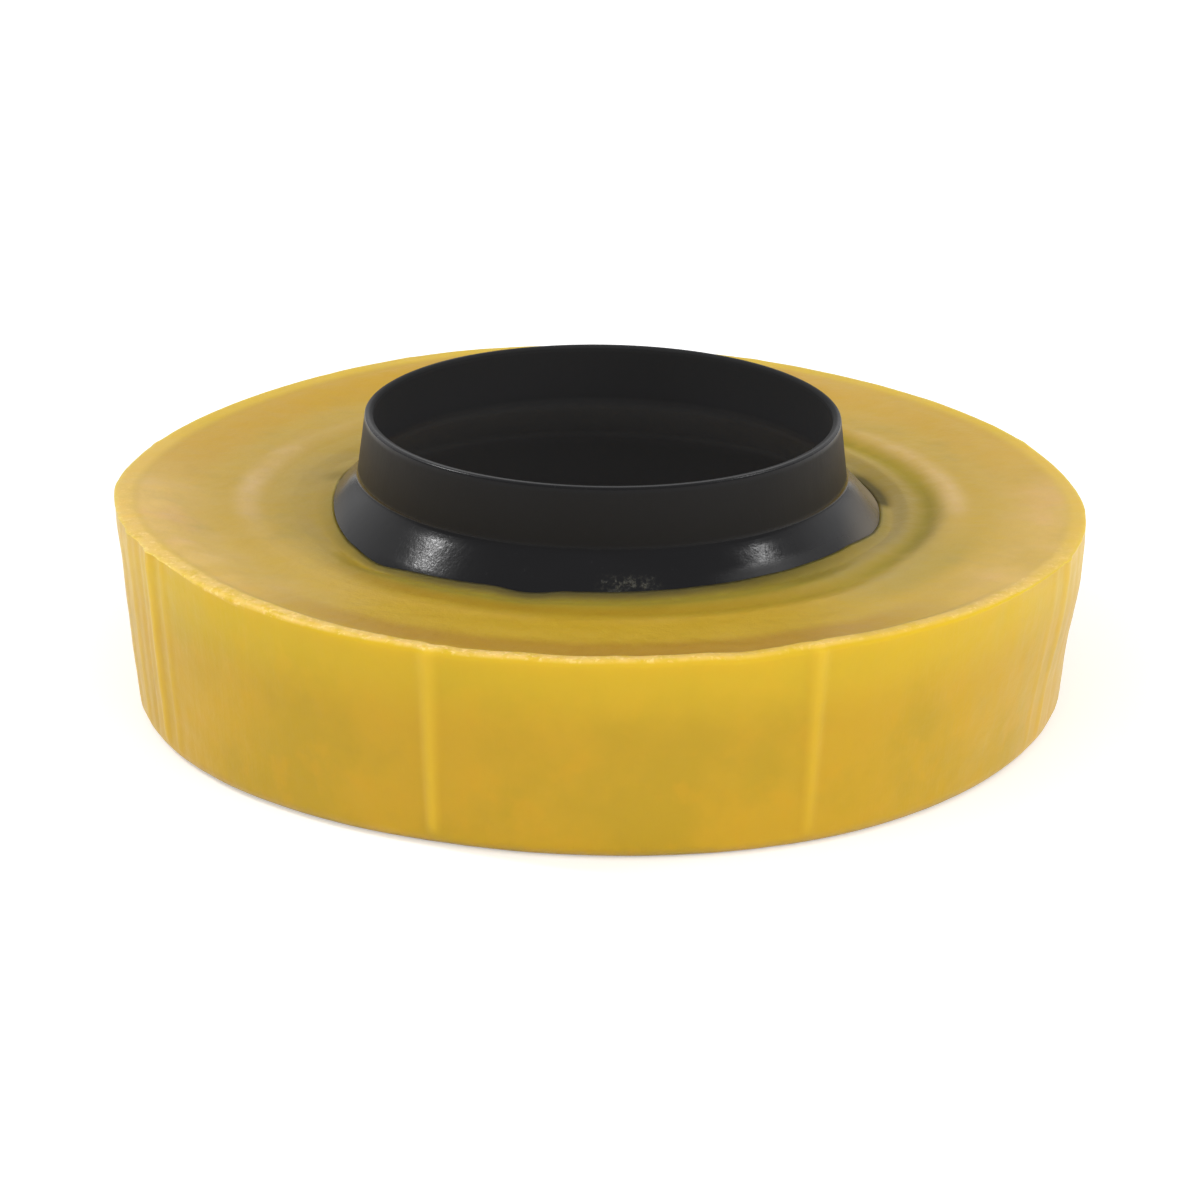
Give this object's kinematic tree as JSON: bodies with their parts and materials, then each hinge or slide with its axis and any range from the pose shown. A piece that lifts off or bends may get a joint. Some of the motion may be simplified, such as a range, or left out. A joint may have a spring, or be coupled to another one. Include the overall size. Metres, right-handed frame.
{
  "type": "toilet pan seal",
  "caption": "Soft yellow wax ring with a raised lip and vertical ribs, cast round a black plastic horn that stands out of its face and leads the waste into the pipe.",
  "frame": {"origin": "centre of the wax face that meets the pan, which the part stands on", "axes": "+Z along the axis of the ring and the horn, from the pan towards the waste pipe; a rib lies 22.5 degrees round from +X"},
  "size_m": [0.133, 0.133, 0.0405],
  "materials": {
    "wax": "soft petroleum wax, waxy sheen",
    "black_plastic": "moulded polyethylene, satin sheen"
  },
  "bodies": {
    "root": {"wax_ring": "wax", "horn": "black_plastic"}
  },
  "joints": []
}
